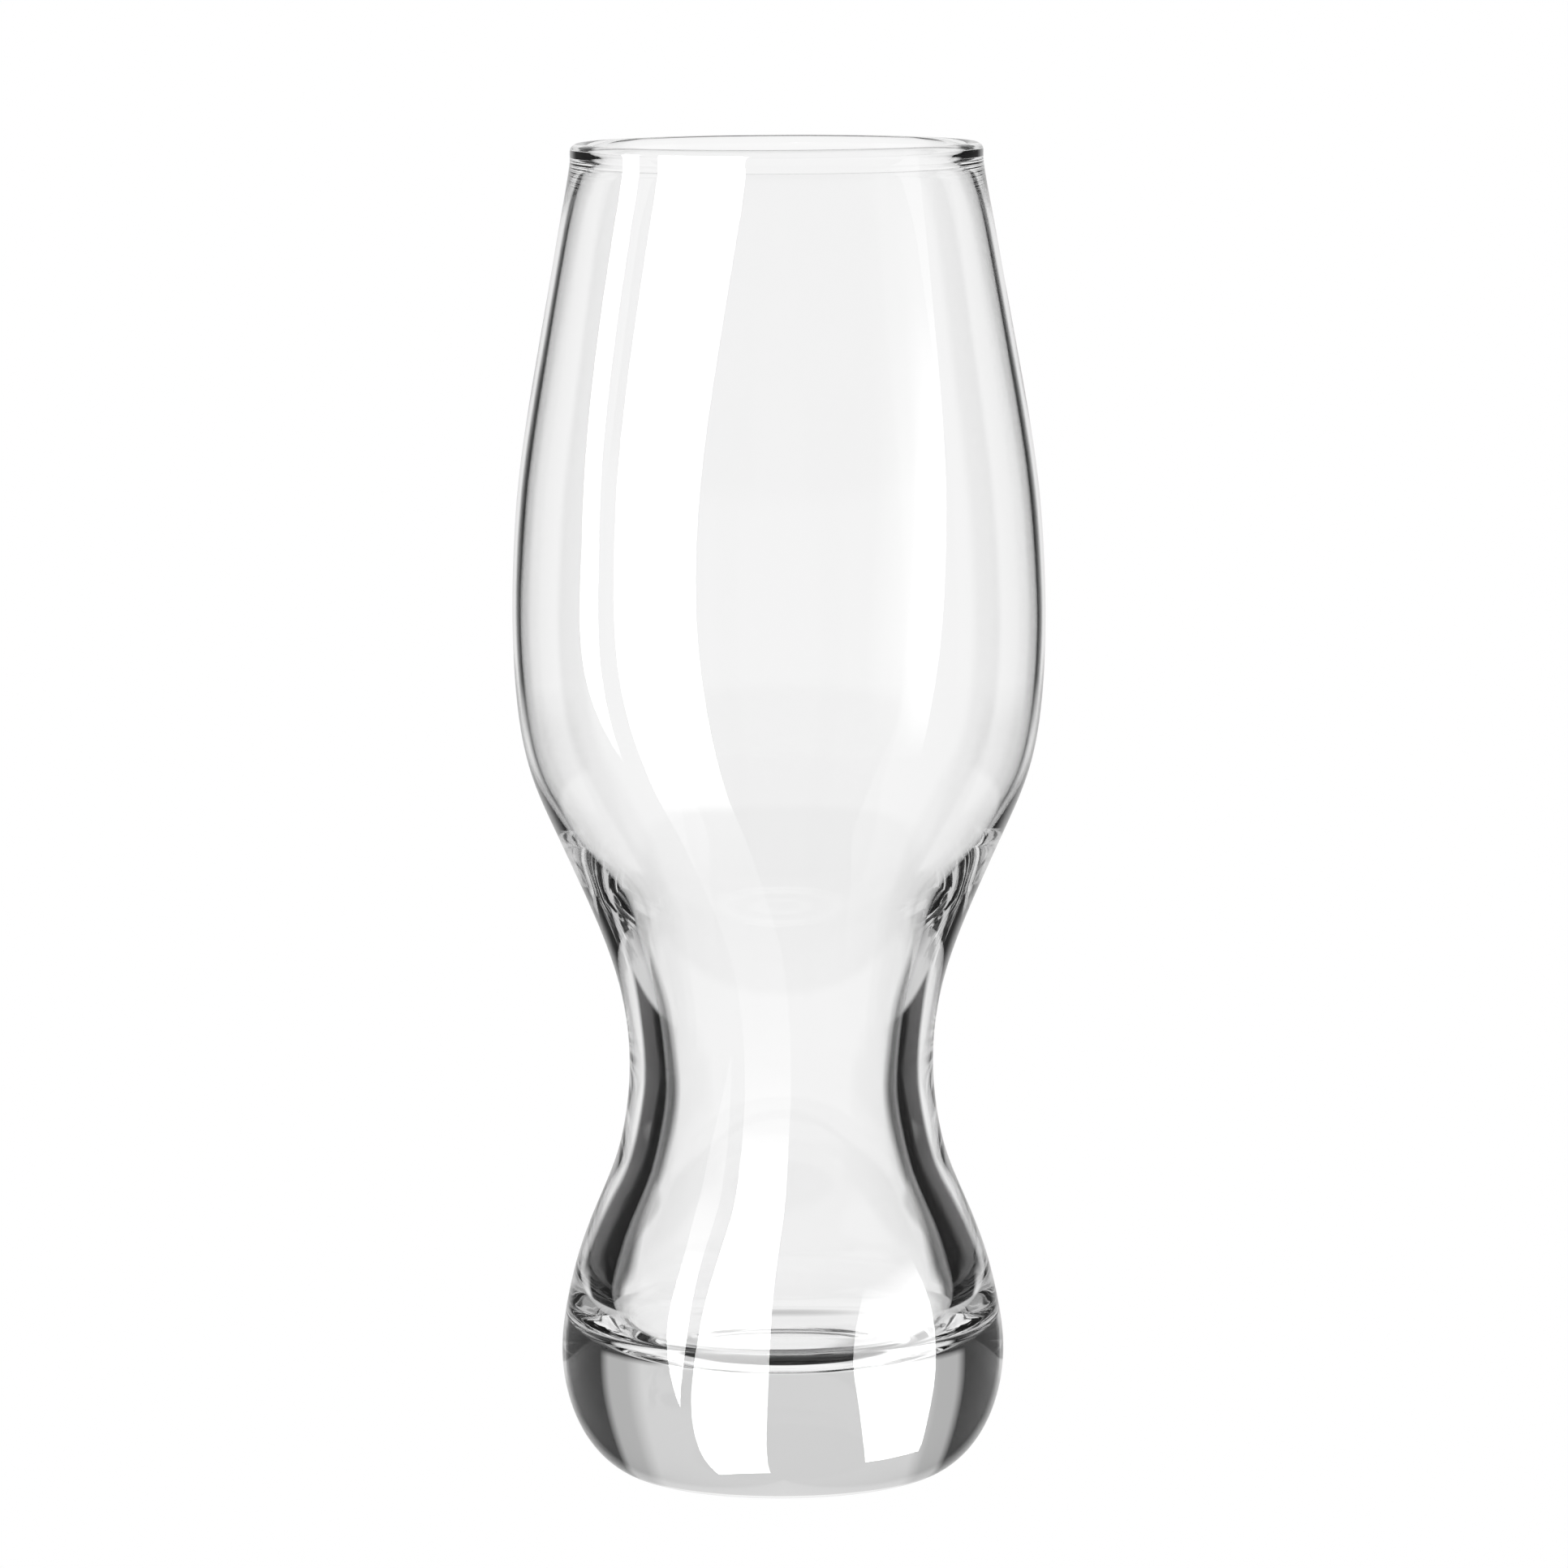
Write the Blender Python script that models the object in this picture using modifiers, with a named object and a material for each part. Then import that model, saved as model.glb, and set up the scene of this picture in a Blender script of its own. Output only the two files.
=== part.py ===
"""A curved pint glass: thin barrel bowl, narrow thick-walled waist, bulbous foot with a solid base.

It is one piece of clear glass, turned about +Z. Units are metres in the scene and millimetres in the
constants. The origin is the centre of the ring that the glass stands on.
"""

import math

import bpy
import numpy as np

MM = 0.001
COLLECTION = "pint_glass"

# Driving dimensions, in mm
HEIGHT = 196.0  # standing plane to the crest of the rim
BEAD_RADIUS = 28.66  # radius of the circle that the crest of the rim bead runs along
BEAD_HALF_WIDTH = 1.36
BEAD_HALF_HEIGHT = 1.1
HEEL_TOP = 18.5  # height of the foot's widest point, where the heel's curve begins
FOOT_RADIUS = 32.6
RING_OUTER_RADIUS = 20.0  # the flat ring that touches the table
RING_INNER_RADIUS = 17.0
PUSH_UP = 1.6  # how far the middle of the underside stands clear of the table
FLOOR = 17.3  # height of the cavity's floor at the axis: the thickness of the solid base is this less PUSH_UP

# The outside below the bead and above the heel: (height, radius)
OUTSIDE = [
    (193.7, 30.02),
    (192.3, 30.18),
    (190.0, 30.55),
    (186.0, 31.3),
    (179.0, 32.55),
    (167.0, 34.7),
    (155.5, 36.7),
    (146.0, 38.0),
    (136.5, 38.7),
    (126.0, 38.95),
    (117.0, 38.6),
    (110.0, 37.8),
    (103.0, 36.05),
    (96.0, 33.1),
    (88.5, 29.7),
    (81.5, 26.7),
    (74.0, 24.1),
    (67.0, 22.7),
    (60.5, 22.35),
    (53.5, 22.95),
    (47.5, 24.3),
    (40.0, 27.3),
    (33.0, 29.95),
    (25.5, 31.8),
]

# The cavity, from the edge of its floor to the underside of the bead: (height, radius)
INSIDE = [
    (17.5, 10.0),
    (18.2, 17.0),
    (19.6, 21.6),
    (22.2, 24.6),
    (26.0, 25.4),
    (31.5, 24.4),
    (37.0, 22.5),
    (43.0, 20.0),
    (49.0, 18.3),
    (55.5, 17.3),
    (62.0, 17.35),
    (70.0, 18.4),
    (78.0, 20.9),
    (85.5, 24.7),
    (92.5, 29.1),
    (98.0, 32.2),
    (103.5, 34.75),
    (109.0, 36.3),
    (116.0, 37.3),
    (126.0, 37.75),
    (136.0, 37.4),
    (146.0, 36.6),
    (156.0, 35.2),
    (168.0, 33.15),
    (180.0, 31.0),
    (187.0, 29.6),
    (191.0, 28.6),
    (193.0, 28.0),
]

# Fineness
TURN_STEPS = 64
LONGEST_STEP = 8.5  # along the wall, in mm
BEAD_STEPS = 12
HEEL_STEPS = 6
PUSH_UP_STEPS = 3
WELD = 0.00001


def spline_through(points):
    """Points along the natural cubic spline through the given ones, no further apart than LONGEST_STEP."""
    points = np.array(points, float)
    knots = np.concatenate([[0.0], np.cumsum(np.linalg.norm(np.diff(points, axis=0), axis=1))])
    gaps = np.diff(knots)
    system = np.eye(len(knots))
    load = np.zeros_like(points)
    for i in range(1, len(knots) - 1):
        system[i, i - 1 : i + 2] = gaps[i - 1], 2 * (gaps[i - 1] + gaps[i]), gaps[i]
        load[i] = 6 * ((points[i + 1] - points[i]) / gaps[i] - (points[i] - points[i - 1]) / gaps[i - 1])
    bend = np.linalg.solve(system, load)
    curve = [tuple(points[0])]
    for i, gap in enumerate(gaps):
        count = math.ceil(gap / LONGEST_STEP)
        for before in np.linspace(0.0, gap, count + 1)[1:]:
            after = gap - before
            point = (
                (bend[i] * after**3 + bend[i + 1] * before**3) / (6 * gap)
                + (points[i] / gap - bend[i] * gap / 6) * after
                + (points[i + 1] / gap - bend[i + 1] * gap / 6) * before
            )
            curve.append(tuple(point))
    return curve


def ellipse_arc(centre, half_width, half_height, start, end, count):
    """count + 1 points (radius, height) on an ellipse, between two angles in degrees."""
    angles = np.radians(np.linspace(start, end, count + 1))
    return [
        (centre[0] + half_width * math.cos(a), centre[1] + half_height * math.sin(a)) for a in angles
    ]


def cavity_line():
    """From the middle of the cavity's floor up the inside wall."""
    wall = [(radius, height) for height, radius in INSIDE]
    return spline_through([(0.0, FLOOR)] + wall)


def bead_line():
    """Over the fire-polished rim, from its inner side to its outer side."""
    centre = (BEAD_RADIUS, HEIGHT - BEAD_HALF_HEIGHT)
    return ellipse_arc(centre, BEAD_HALF_WIDTH, BEAD_HALF_HEIGHT, 200, 0, BEAD_STEPS)


def outside_line():
    """Down the outside, from under the bead to just above the heel."""
    wall = [(radius, height) for height, radius in OUTSIDE]
    return spline_through(wall + [(FOOT_RADIUS, HEEL_TOP)])[:-1]


def heel_line():
    """The heavy rounded heel: a quarter of an ellipse that meets the table tangentially."""
    width = FOOT_RADIUS - RING_OUTER_RADIUS
    return ellipse_arc((RING_OUTER_RADIUS, HEEL_TOP), width, HEEL_TOP, 0, -90, HEEL_STEPS)


def underside_line():
    """From the bearing ring's inner edge over the shallow push-up to the axis."""
    turn = np.linspace(0, math.pi / 2, PUSH_UP_STEPS + 1)
    return [(RING_INNER_RADIUS * math.cos(t), PUSH_UP * math.sin(t) ** 2) for t in turn]


def glass_profile():
    """The whole section in mm as (radius, height), from the cavity's floor over the rim to the underside."""
    line = cavity_line() + bead_line() + outside_line() + heel_line() + underside_line()
    line[0] = (0.0, line[0][1])
    line[-1] = (0.0, line[-1][1])
    return line


def clear_glass():
    material = bpy.data.materials.new("clear_glass")
    material.use_nodes = True
    shader = material.node_tree.nodes["Principled BSDF"]
    shader.inputs["Base Color"].default_value = (0.96, 0.98, 0.97, 1.0)
    shader.inputs["Roughness"].default_value = 0.02
    shader.inputs["Metallic"].default_value = 0.0
    shader.inputs["IOR"].default_value = 1.52
    shader.inputs["Transmission Weight"].default_value = 1.0
    return material


def turned(name, profile, material, collection):
    """An object whose mesh is the profile, spun about Z by a Screw modifier."""
    mesh = bpy.data.meshes.new(name)
    vertices = [(radius * MM, 0.0, height * MM) for radius, height in profile]
    mesh.from_pydata(vertices, [(i, i + 1) for i in range(len(vertices) - 1)], [])
    mesh.materials.append(material)
    piece = bpy.data.objects.new(name, mesh)
    collection.objects.link(piece)
    screw = piece.modifiers.new("Turn", "SCREW")
    screw.axis = "Z"
    screw.angle = 2 * math.pi
    screw.steps = TURN_STEPS
    screw.render_steps = TURN_STEPS
    screw.use_merge_vertices = True
    screw.merge_threshold = WELD
    screw.use_smooth_shade = True
    return piece


def main():
    for leftover in list(bpy.data.objects):
        bpy.data.objects.remove(leftover, do_unlink=True)
    collection = bpy.data.collections.new(COLLECTION)
    bpy.context.scene.collection.children.link(collection)
    turned("glass", glass_profile(), clear_glass(), collection)


main()
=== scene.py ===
"""Looks for the curved pint glass: fine glass surface, clear glass material, bright-field studio, camera.

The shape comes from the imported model: its section is read from the CAD mesh and carried round at a fine
step. Units are metres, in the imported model's frame.
"""

import math

import bmesh
import bpy
import numpy as np
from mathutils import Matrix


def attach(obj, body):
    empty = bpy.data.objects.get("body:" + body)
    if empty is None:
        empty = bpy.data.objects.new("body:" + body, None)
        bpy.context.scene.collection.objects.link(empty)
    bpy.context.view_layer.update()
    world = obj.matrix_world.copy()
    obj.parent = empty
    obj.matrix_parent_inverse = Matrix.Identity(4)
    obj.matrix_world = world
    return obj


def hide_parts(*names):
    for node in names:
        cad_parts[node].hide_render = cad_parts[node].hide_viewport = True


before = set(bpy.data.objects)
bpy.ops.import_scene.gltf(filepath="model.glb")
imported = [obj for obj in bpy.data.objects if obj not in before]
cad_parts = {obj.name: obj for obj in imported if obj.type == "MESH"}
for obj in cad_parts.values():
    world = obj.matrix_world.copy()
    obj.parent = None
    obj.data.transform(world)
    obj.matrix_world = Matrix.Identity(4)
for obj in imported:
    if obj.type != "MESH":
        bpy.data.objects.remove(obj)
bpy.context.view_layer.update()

MM = 0.001

# Fineness of the visual surface
AROUND = 192
LONGEST_STEP = 1.3 * MM  # along the section
WIDEST_TURN = math.radians(6.5)  # between one step and the next

# The glass
IOR = 1.52
WAVE_SCALE = 90.0  # waves per metre left in the surface by forming
WAVE_HEIGHT = 0.004 * MM
POLISH_SCALE = 60.0
POLISH = [(0.0, 0.0), (0.4, 0.0), (0.7, 0.03), (1.0, 0.05)]  # roughness, by the noise's value

# The camera, at the photograph's viewing angle
CAMERA_DISTANCE = 1.1255  # horizontal, from the glass's axis
CAMERA_HEIGHT = 0.2392
CAMERA_ASIDE = 0.0006
CAMERA_PITCH = math.radians(6.94)
CAMERA_ROLL = math.radians(-0.3)
CAMERA_LENS = 177.6
CAMERA_SENSOR = 36.0

# The studio
FLOOR_RADIUS = 12.0
FLOOR_DROP = 0.2 * MM  # keeps the floor clear of the bearing ring
BRIGHT = 0.985
DARK = 0.01
SIDE = 0.62  # beside the glass and in front of it
FOOT_TOP = 40 * MM  # the foot's widest point is below this height
CARD_GAP = 10 * MM  # between the glass and the light cards that its face mirrors
CARD_LIGHT = 13.0

# Azimuths are in degrees from +Y towards +X, elevations in degrees above the horizon. These lists are
# (azimuth, level) for one side; the other side is the same.
# What refracted rays see just below the horizon: a lit backdrop between dark flags, and light from the sides.
BACKDROP = [(0, BRIGHT), (20, BRIGHT), (27, DARK), (75, DARK), (80, SIDE), (180, SIDE)]
# The same at the horizon and a little above it, where the solid base looks.
HORIZON = [(0, 0.67), (29, 0.67), (34, 0.45), (41, 0.45), (45, DARK), (78, DARK), (82, SIDE), (180, SIDE)]
# The same higher up.
UPPER = [(0, 0.67), (29, 0.67), (34, 0.45), (41, 0.45), (45, DARK), (95, DARK), (110, 0.3), (180, 0.3)]
# The table top, seen through the foot.
TABLE = [(0, BRIGHT), (10, BRIGHT), (20, 0.65), (180, 0.65)]
# Where each gives way to the next, as a pair of elevations.
BACKDROP_TO_HORIZON = (-5.5, -4.5)
HORIZON_TO_UPPER = (7, 10)
UPPER_TO_DARK = (36, 42)
DARK_TO_CEILING = (76, 80)
TABLE_TO_BACKDROP = (-25, -23.5)
DARK_TO_TABLE = (-52, -48)
# What the glass's face mirrors where no light card stands: a dim room, lighter low down behind the glass.
ROOM_DIM = 0.1
ROOM = [(0, 0.8), (20, 0.6), (30, ROOM_DIM), (180, ROOM_DIM)]
ROOM_TO_CEILING = (25, 35)

# Lists of (share, value) run from 0 at one edge of a card or screen to 1 at the other.
HARD = [(0.0, 1.0), (1.0, 1.0)]

# Round the bowl stands a screen, lit behind it and at the sides and dark between, and behind the waist a
# dark flag on each side. Both fade out: the screen at its foot, the flags at every edge.
SCREEN_RADIUS = 0.1
SCREEN_HEIGHTS = (0.092, 0.26)
SCREEN_AZIMUTHS = (-110, 110)
SCREEN_SIDE = 0.8
SCREEN = [
    (0.0, SCREEN_SIDE),
    (0.2, SCREEN_SIDE),
    (0.23, DARK),
    (0.309, DARK),
    (0.327, BRIGHT),
    (0.673, BRIGHT),
    (0.691, DARK),
    (0.77, DARK),
    (0.8, SCREEN_SIDE),
    (1.0, SCREEN_SIDE),
]
SOFT_FOOT = [(0.0, 0.0), (0.08, 1.0), (1.0, 1.0)]
FLAG_RADIUS = 0.045
FLAG_HEIGHTS = (0.02, 0.056)
FLAG_AZIMUTHS = (45, 88)
FLAG = [(0.0, DARK), (1.0, DARK)]
SOFT_EDGES = [(0.0, 0.0), (0.2, 1.0), (0.8, 1.0), (1.0, 0.0)]

# The light cards that the glass's face mirrors: left edge, right edge, then how the light varies across and
# along each. An edge is (height in mm, azimuth in degrees from -Y, the viewer's side, towards +X).
CARD_ROWS = 60
SCREEN_COLUMNS = 49
CARD_COLUMNS = 13
LIGHT_CARDS = {
    "card_wide": (
        [
            *((-70, -56), (0, -33), (18, -29.5), (34, -26.5), (48, -21), (60, -18), (71, -21.5)),
            *((86, -30), (101, -37), (118, -44), (137, -46), (174, -46), (190, -44.2), (200, -43)),
        ],
        [
            *((-70, -10), (0, -6), (19, -4.5), (30, -3.8), (48, 0.4), (60, 4.8), (77, -3)),
            *((95, -13), (111, -18), (125, -20.8), (138, -21.5), (168, -18), (190, -12), (200, -9)),
        ],
        HARD,
        [
            *((0.0, 1.0), (0.44, 1.0), (0.463, 0.16), (0.49, 0.07), (0.505, 0.045)),
            *((0.56, 0.045), (0.61, 0.09), (0.66, 1.0), (1.0, 1.0)),
        ],
    ),
    "card_narrow": (
        [(104, -45), (117, -56), (137, -58.6), (173, -61.7), (190, -61.1), (200, -60.7)],
        [(104, -44.9), (117, -50), (137, -51.7), (173, -53.7), (190, -52.6), (200, -51.7)],
        HARD,
        [(0.0, 0.0), (0.15, 1.0), (1.0, 1.0)],
    ),
    "card_foot_narrow": (
        [(10, -35), (21, -38.3), (28, -40), (42, -37.6), (52, -35.8), (62, -25)],
        [(10, -34.9), (21, -32.8), (31, -31.8), (42, -29.7), (52, -26.4), (62, -24.9)],
        HARD,
        [(0.0, 1.0), (0.5, 1.0), (0.62, 0.2), (0.8, 0.1), (1.0, 0.05)],
    ),
    "card_window": (
        [(105, 26), (118, 22.3), (137, 24), (174, 27.8), (195, 27)],
        [(105, 39.5), (124, 44.4), (143, 47.7), (176, 52.5), (195, 55)],
        [(0.0, 0.0), (0.5, 0.12), (0.75, 0.35), (1.0, 0.4)],
        [(0.0, 0.0), (0.2, 1.0), (0.5, 1.0), (0.8, 0.25), (1.0, 0.12)],
    ),
    "card_low_window": (
        [(-26, 44), (14, 24), (27, 23.6), (36, 29)],
        [(-14, 68), (6, 55.2), (21, 54.8), (30, 55.6), (40, 51)],
        HARD,
        [(0.0, 1.0), (0.75, 1.0), (1.0, 0.0)],
    ),
}


# --- Section ---


def cad_section(mesh):
    """The CAD solid's section at azimuth 0, as (radius, height) from the cavity's floor to the underside."""
    points = np.empty(len(mesh.vertices) * 3)
    mesh.vertices.foreach_get("co", points)
    points = points.reshape(-1, 3)
    near = 0.01 * MM
    on_plane = (np.abs(points[:, 1]) < near) & (points[:, 0] > -near)
    keys = np.round(points[:, [0, 2]] / near).astype(int)
    neighbours = {}
    for edge in mesh.edges:
        a, b = edge.vertices
        if on_plane[a] and on_plane[b]:
            first, second = tuple(keys[a]), tuple(keys[b])
            if first != second:
                neighbours.setdefault(first, set()).add(second)
                neighbours.setdefault(second, set()).add(first)
    here = max((k for k in neighbours if k[0] == 0), key=lambda k: k[1])
    path = [here]
    before = None
    while True:
        onward = [k for k in neighbours[here] if k != before and k not in path]
        if not onward:
            return np.array(path) * near
        before, here = here, onward[0]
        path.append(here)


def spline(knots, values, at):
    """The natural cubic spline through values at knots, read at the given places."""
    gaps = np.diff(knots)
    system = np.eye(len(knots))
    load = np.zeros_like(values)
    for i in range(1, len(knots) - 1):
        system[i, i - 1 : i + 2] = gaps[i - 1], 2 * (gaps[i - 1] + gaps[i]), gaps[i]
        slope_before = (values[i] - values[i - 1]) / gaps[i - 1]
        slope_after = (values[i + 1] - values[i]) / gaps[i]
        load[i] = 6 * (slope_after - slope_before)
    bend = np.linalg.solve(system, load)
    i = np.clip(np.searchsorted(knots, at, side="right") - 1, 0, len(gaps) - 1)
    shape = (-1,) + (1,) * (values.ndim - 1)
    gap = gaps[i].reshape(shape)
    before = (at - knots[i]).reshape(shape)
    after = (knots[i + 1] - at).reshape(shape)
    return (
        (bend[i] * after**3 + bend[i + 1] * before**3) / (6 * gap)
        + (values[i] / gap - bend[i] * gap / 6) * after
        + (values[i + 1] / gap - bend[i + 1] * gap / 6) * before
    )


def smooth_section(section):
    """The section as a smooth curve, with its points closest together where it turns most."""
    knots = np.concatenate([[0.0], np.cumsum(np.linalg.norm(np.diff(section, axis=0), axis=1))])
    fine = np.arange(0.0, knots[-1], LONGEST_STEP / 20)
    steps = np.diff(spline(knots, section, fine), axis=0)
    heading = np.unwrap(np.arctan2(steps[:, 1], steps[:, 0]))
    cost = np.linalg.norm(steps, axis=1) / LONGEST_STEP + np.abs(np.gradient(heading)) / WIDEST_TURN
    spent = np.concatenate([[0.0], np.cumsum(cost)])
    evenly = np.linspace(0.0, spent[-1], math.ceil(spent[-1]) + 1)
    at = np.interp(evenly, spent, fine)
    at[-1] = knots[-1]
    curve = spline(knots, section, at)
    curve[0, 0] = curve[-1, 0] = 0.0
    return curve


def turned_surface(name, section, around):
    """A closed surface of revolution with one vertex at each end of the section."""
    mesh = bpy.data.meshes.new(name)
    build = bmesh.new()
    rings = []
    for radius, height in section[1:-1]:
        ring = []
        for k in range(around):
            turn = 2 * math.pi * k / around
            ring.append(build.verts.new((radius * math.cos(turn), radius * math.sin(turn), height)))
        rings.append(ring)
    start = build.verts.new((0.0, 0.0, section[0][1]))
    end = build.verts.new((0.0, 0.0, section[-1][1]))
    for k in range(around):
        n = (k + 1) % around
        build.faces.new((start, rings[0][k], rings[0][n]))
        build.faces.new((end, rings[-1][n], rings[-1][k]))
        for low, high in zip(rings, rings[1:]):
            build.faces.new((low[k], high[k], high[n], low[n]))
    build.normal_update()
    for face in build.faces:
        face.smooth = True
    build.to_mesh(mesh)
    build.free()
    piece = bpy.data.objects.new(name, mesh)
    bpy.context.scene.collection.objects.link(piece)
    return piece


# --- Glass ---


def clear_glass():
    material = bpy.data.materials.new("clear_glass")
    material.use_nodes = True
    tree = material.node_tree
    shader = tree.nodes["Principled BSDF"]
    shader.inputs["Base Color"].default_value = (1.0, 1.0, 1.0, 1.0)
    shader.inputs["IOR"].default_value = IOR
    shader.inputs["Transmission Weight"].default_value = 1.0
    coordinates = tree.nodes.new("ShaderNodeTexCoord")
    waves = tree.nodes.new("ShaderNodeTexNoise")
    waves.inputs["Scale"].default_value = WAVE_SCALE
    waves.inputs["Detail"].default_value = 1.0
    tree.links.new(coordinates.outputs["Object"], waves.inputs["Vector"])
    bump = tree.nodes.new("ShaderNodeBump")
    bump.inputs["Distance"].default_value = WAVE_HEIGHT
    tree.links.new(waves.outputs["Fac"], bump.inputs["Height"])
    tree.links.new(bump.outputs["Normal"], shader.inputs["Normal"])
    polish = tree.nodes.new("ShaderNodeTexNoise")
    polish.inputs["Scale"].default_value = POLISH_SCALE
    tree.links.new(coordinates.outputs["Object"], polish.inputs["Vector"])
    tree.links.new(curve(tree, polish.outputs["Fac"], POLISH), shader.inputs["Roughness"])
    return material


def make_glass(section):
    piece = turned_surface("glass_surface", section, AROUND)
    piece.data.materials.append(clear_glass())
    piece.visible_shadow = False
    piece.visible_diffuse = False
    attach(piece, "root")
    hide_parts("glass")
    return piece


# --- Studio ---


def math_node(tree, operation, *values):
    node = tree.nodes.new("ShaderNodeMath")
    node.operation = operation
    for socket, value in zip(node.inputs, values):
        if isinstance(value, bpy.types.NodeSocket):
            tree.links.new(value, socket)
        else:
            socket.default_value = value
    return node.outputs[0]


def curve(tree, value, stops):
    """A piecewise-linear function of value, given as (value, result) pairs in order."""
    low, high = stops[0][0], stops[-1][0]
    share = tree.nodes.new("ShaderNodeMapRange")
    share.inputs["From Min"].default_value = low
    share.inputs["From Max"].default_value = high
    tree.links.new(value, share.inputs["Value"])
    node = tree.nodes.new("ShaderNodeValToRGB")
    elements = node.color_ramp.elements
    elements[0].color = (stops[0][1],) * 3 + (1.0,)
    elements[1].color = (stops[-1][1],) * 3 + (1.0,)
    for at, result in stops[1:-1]:
        elements.new((at - low) / (high - low)).color = (result,) * 3 + (1.0,)
    tree.links.new(share.outputs[0], node.inputs["Fac"])
    return node.outputs["Color"]


def blend(tree, share, first, second):
    """first where share is 0, second where it is 1."""
    node = tree.nodes.new("ShaderNodeMix")
    for socket, value in zip((node.inputs[0], node.inputs[2], node.inputs[3]), (share, first, second)):
        if isinstance(value, bpy.types.NodeSocket):
            tree.links.new(value, socket)
        else:
            socket.default_value = value
    return node.outputs[0]


def make_world():
    """White to the camera; refracted rays see the backdrop and table, and mirrored rays a dim room."""
    world = bpy.data.worlds.new("studio")
    bpy.context.scene.world = world
    world.use_nodes = True
    tree = world.node_tree
    tree.nodes.clear()
    coordinates = tree.nodes.new("ShaderNodeTexCoord")
    split = tree.nodes.new("ShaderNodeSeparateXYZ")
    tree.links.new(coordinates.outputs["Generated"], split.inputs[0])
    turn = math_node(tree, "ARCTAN2", split.outputs["X"], split.outputs["Y"])
    azimuth = math_node(tree, "ABSOLUTE", math_node(tree, "MULTIPLY", turn, 180 / math.pi))
    tilt = math_node(tree, "ARCSINE", split.outputs["Z"])
    elevation = math_node(tree, "MULTIPLY", tilt, 180 / math.pi)
    through = curve(tree, azimuth, BACKDROP)
    horizon = curve(tree, azimuth, HORIZON)
    upper = curve(tree, azimuth, UPPER)
    table = curve(tree, azimuth, TABLE)
    zones_upwards = (
        (BACKDROP_TO_HORIZON, horizon),
        (HORIZON_TO_UPPER, upper),
        (UPPER_TO_DARK, DARK),
        (DARK_TO_CEILING, BRIGHT),
    )
    for (low, high), above in zones_upwards:
        share = curve(tree, elevation, [(-90, 0), (low, 0), (high, 1), (90, 1)])
        through = blend(tree, share, through, above)
    for (low, high), below in ((TABLE_TO_BACKDROP, table), (DARK_TO_TABLE, DARK)):
        share = curve(tree, elevation, [(-90, 1), (low, 1), (high, 0), (90, 0)])
        through = blend(tree, share, through, below)
    rays = tree.nodes.new("ShaderNodeLightPath")
    low, high = ROOM_TO_CEILING
    low_down = curve(tree, elevation, [(-90, 1), (low, 1), (high, 0), (90, 0)])
    mirrored = blend(tree, low_down, ROOM_DIM, curve(tree, azimuth, ROOM))
    seen = blend(tree, rays.outputs["Is Glossy Ray"], 1.0, mirrored)
    seen = blend(tree, rays.outputs["Is Transmission Ray"], seen, through)
    background = tree.nodes.new("ShaderNodeBackground")
    tree.links.new(seen, background.inputs["Color"])
    output = tree.nodes.new("ShaderNodeOutputWorld")
    tree.links.new(background.outputs[0], output.inputs["Surface"])


def only_for(piece, ray):
    """Stage dressing that only one kind of ray sees."""
    for kind in ("camera", "diffuse", "glossy", "transmission", "volume_scatter", "shadow"):
        setattr(piece, "visible_" + kind, kind == ray)


def grid(name, rows):
    """An open surface through rows of points, with UVs from 0 to 1 along each row and from row to row."""
    mesh = bpy.data.meshes.new(name)
    build = bmesh.new()
    layer = build.loops.layers.uv.new("place")
    verts = [[build.verts.new(point) for point in row] for row in rows]
    for i in range(len(rows) - 1):
        for j in range(len(rows[i]) - 1):
            corners = ((i, j), (i, j + 1), (i + 1, j + 1), (i + 1, j))
            face = build.faces.new([verts[a][b] for a, b in corners])
            for loop, (a, b) in zip(face.loops, corners):
                loop[layer].uv = (b / (len(rows[i]) - 1), a / (len(rows) - 1))
    build.to_mesh(mesh)
    build.free()
    piece = bpy.data.objects.new(name, mesh)
    bpy.context.scene.collection.objects.link(piece)
    return piece


def card_material(name, strength, level, across, along, first_reflection_only):
    """Emission of a level that varies across a card, and that fades to clear across and along it."""
    material = bpy.data.materials.new(name)
    material.use_nodes = True
    tree = material.node_tree
    tree.nodes.clear()
    place = tree.nodes.new("ShaderNodeUVMap")
    place.uv_map = "place"
    split = tree.nodes.new("ShaderNodeSeparateXYZ")
    tree.links.new(place.outputs[0], split.inputs[0])
    share_across = curve(tree, split.outputs["X"], across)
    share_along = curve(tree, split.outputs["Y"], along)
    amount = math_node(tree, "MULTIPLY", share_across, share_along)
    if first_reflection_only:
        rays = tree.nodes.new("ShaderNodeLightPath")
        is_first = math_node(tree, "LESS_THAN", rays.outputs["Ray Depth"], 1.5)
        amount = math_node(tree, "MULTIPLY", amount, is_first)
    light = tree.nodes.new("ShaderNodeEmission")
    light.inputs["Strength"].default_value = strength
    tree.links.new(curve(tree, split.outputs["X"], level), light.inputs["Color"])
    clear = tree.nodes.new("ShaderNodeBsdfTransparent")
    mix = tree.nodes.new("ShaderNodeMixShader")
    tree.links.new(amount, mix.inputs[0])
    tree.links.new(clear.outputs[0], mix.inputs[1])
    tree.links.new(light.outputs[0], mix.inputs[2])
    output = tree.nodes.new("ShaderNodeOutputMaterial")
    tree.links.new(mix.outputs[0], output.inputs["Surface"])
    return material


def make_screen(name, radius, azimuths, heights, level, across, along):
    """A curved upright screen round the glass, seen only through it."""
    turns = np.radians(np.linspace(*azimuths, SCREEN_COLUMNS))
    rows = [[(radius * math.sin(t), radius * math.cos(t), height) for t in turns] for height in heights]
    screen = grid(name, rows)
    screen.data.materials.append(card_material(name, 1.0, level, across, along, False))
    only_for(screen, "transmission")


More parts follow.
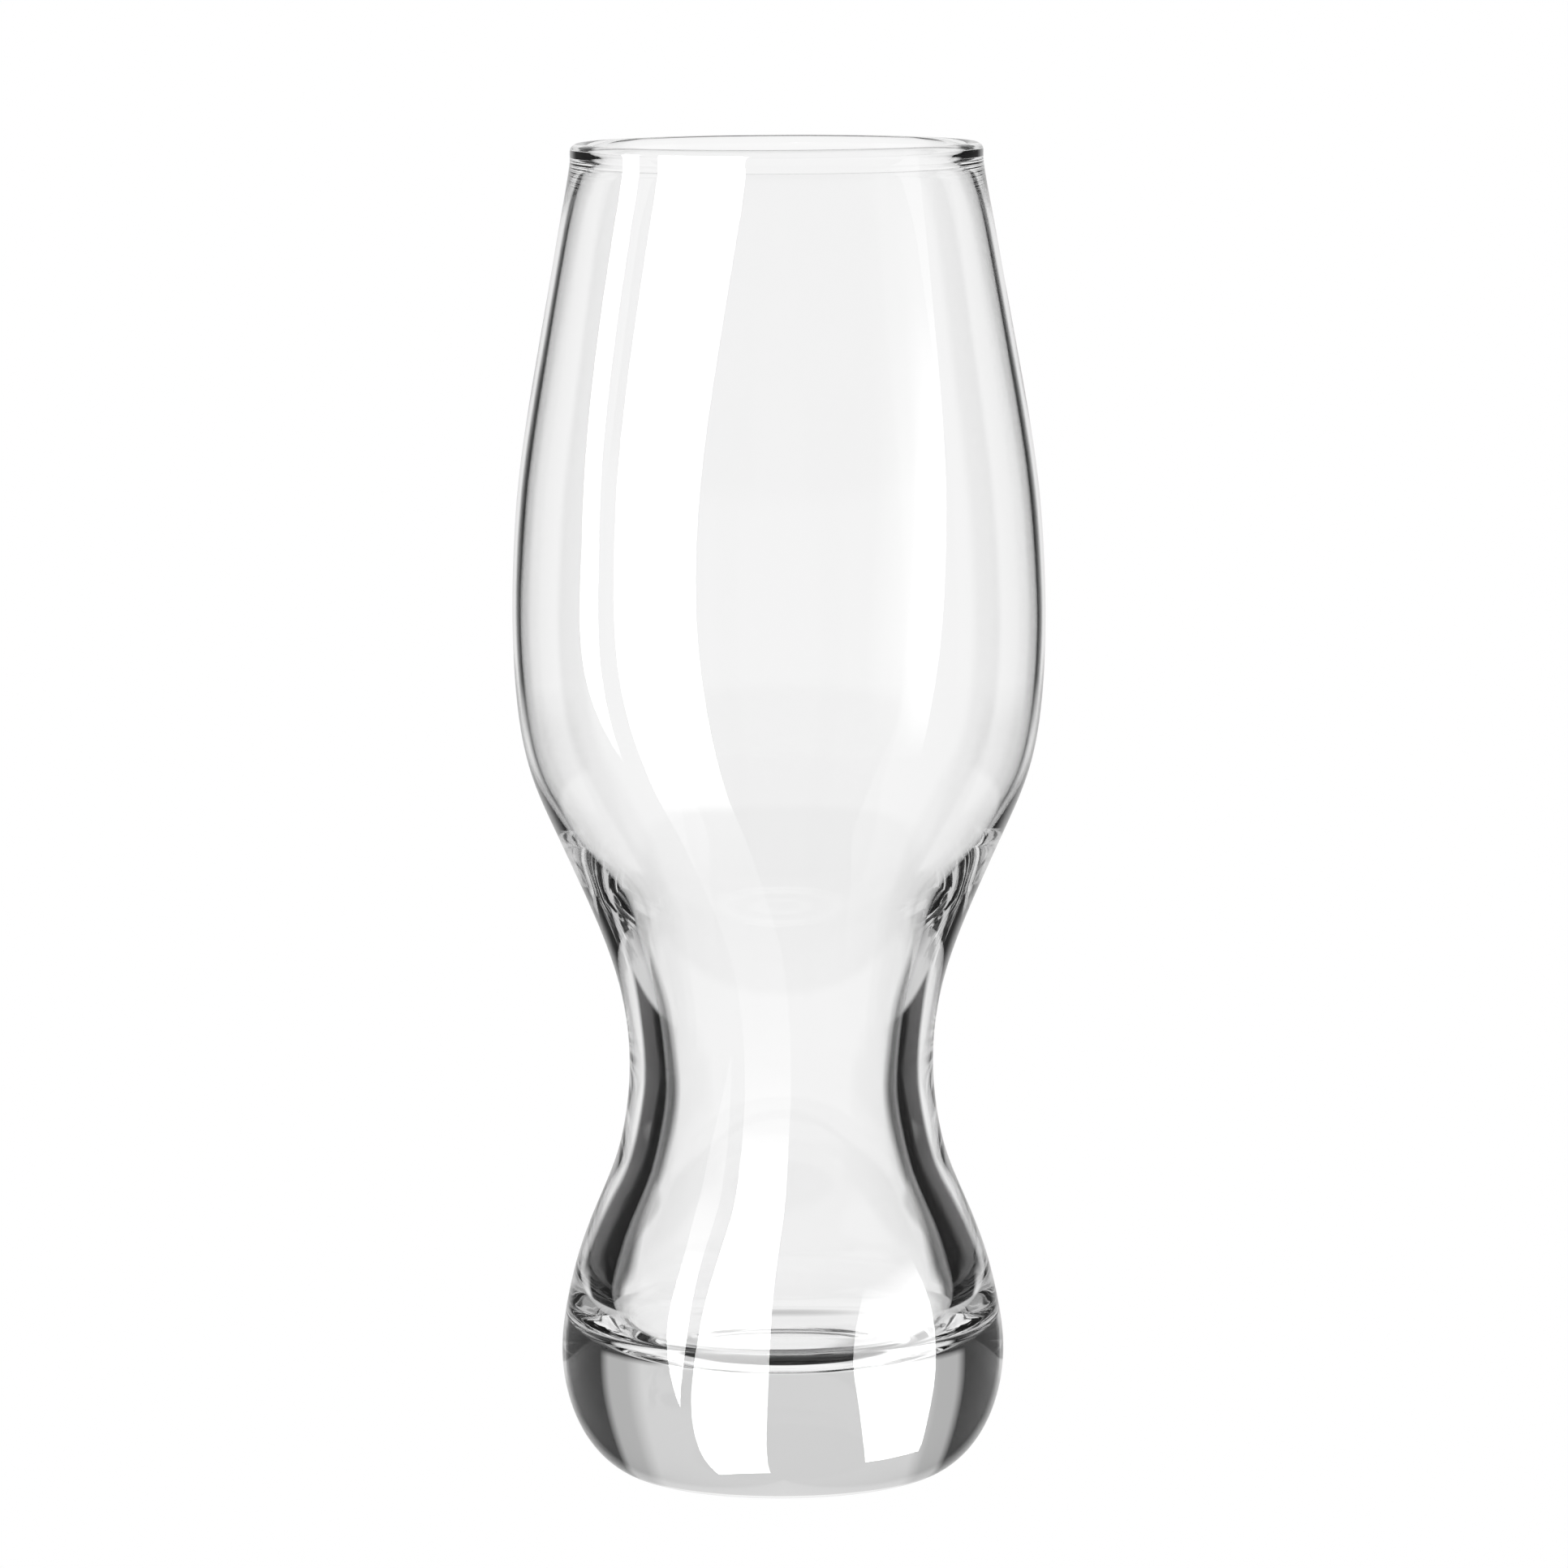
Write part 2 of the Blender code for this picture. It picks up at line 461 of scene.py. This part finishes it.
def make_light_card(name, section, left, right, across, along):
    """A light card that follows the glass's outline at CARD_GAP, between two edges of (height, azimuth).

    Heights are in mm. These azimuths are from -Y, the viewer's side, towards +X.
    """
    crest = int(np.argmax(section[:, 1]))
    outside = section[crest:][::-1]
    in_foot = outside[:, 1] < FOOT_TOP
    outside = outside[np.argmax(np.where(in_foot, outside[:, 0], 0.0)) :]
    left, right = np.array(left, float), np.array(right, float)
    rows = []
    for share in np.linspace(0.0, 1.0, CARD_ROWS):
        ends = []
        for edge in (left, right):
            height = edge[0, 0] + share * (edge[-1, 0] - edge[0, 0])
            ends.append((height, spline(edge[:, 0], edge[:, 1], np.array([height]))[0]))
        row = []
        for step in np.linspace(0.0, 1.0, CARD_COLUMNS):
            height = (ends[0][0] * (1 - step) + ends[1][0] * step) * MM
            turn = math.radians(ends[0][1] * (1 - step) + ends[1][1] * step)
            radius = np.interp(height, outside[:, 1], outside[:, 0]) + CARD_GAP
            row.append((radius * math.sin(turn), -radius * math.cos(turn), height))
        rows.append(row)
    card = grid(name, rows)
    card.data.materials.append(card_material(name, CARD_LIGHT, HARD, across, along, True))
    only_for(card, "glossy")


def make_floor():
    mesh = bpy.data.meshes.new("floor")
    build = bmesh.new()
    bmesh.ops.create_circle(build, cap_ends=True, radius=FLOOR_RADIUS, segments=64)
    build.to_mesh(mesh)
    build.free()
    floor = bpy.data.objects.new("floor", mesh)
    bpy.context.scene.collection.objects.link(floor)
    floor.location.z = -FLOOR_DROP
    material = bpy.data.materials.new("floor")
    material.use_nodes = True
    shader = material.node_tree.nodes["Principled BSDF"]
    shader.inputs["Base Color"].default_value = (1.0, 1.0, 1.0, 1.0)
    shader.inputs["Roughness"].default_value = 1.0
    shader.inputs["Specular IOR Level"].default_value = 0.0
    mesh.materials.append(material)
    floor.visible_transmission = False
    floor.visible_glossy = False


def make_camera():
    camera = bpy.data.objects.new("camera", bpy.data.cameras.new("camera"))
    bpy.context.scene.collection.objects.link(camera)
    camera.data.lens = CAMERA_LENS
    camera.data.sensor_width = CAMERA_SENSOR
    camera.location = (CAMERA_ASIDE, -CAMERA_DISTANCE, CAMERA_HEIGHT)
    camera.rotation_euler = (math.pi / 2 - CAMERA_PITCH, 0.0, 0.0)
    camera.rotation_euler.rotate_axis("Z", CAMERA_ROLL)
    bpy.context.scene.camera = camera


def set_picture():
    scene = bpy.context.scene
    scene.view_settings.view_transform = "Standard"
    scene.cycles.max_bounces = 24
    scene.cycles.transmission_bounces = 24
    scene.cycles.glossy_bounces = 24
    scene.cycles.caustics_reflective = False
    scene.cycles.caustics_refractive = False


outline = smooth_section(cad_section(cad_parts["glass"].data))
make_glass(outline)
make_world()
make_screen("screen", SCREEN_RADIUS, SCREEN_AZIMUTHS, SCREEN_HEIGHTS, SCREEN, HARD, SOFT_FOOT)
for flag_side in (-1, 1):
    flag_azimuths = [flag_side * azimuth for azimuth in FLAG_AZIMUTHS]
    make_screen("flag", FLAG_RADIUS, flag_azimuths, FLAG_HEIGHTS, FLAG, SOFT_EDGES, SOFT_EDGES)
for card_name, card in LIGHT_CARDS.items():
    make_light_card(card_name, outline, *card)
make_floor()
make_camera()
set_picture()
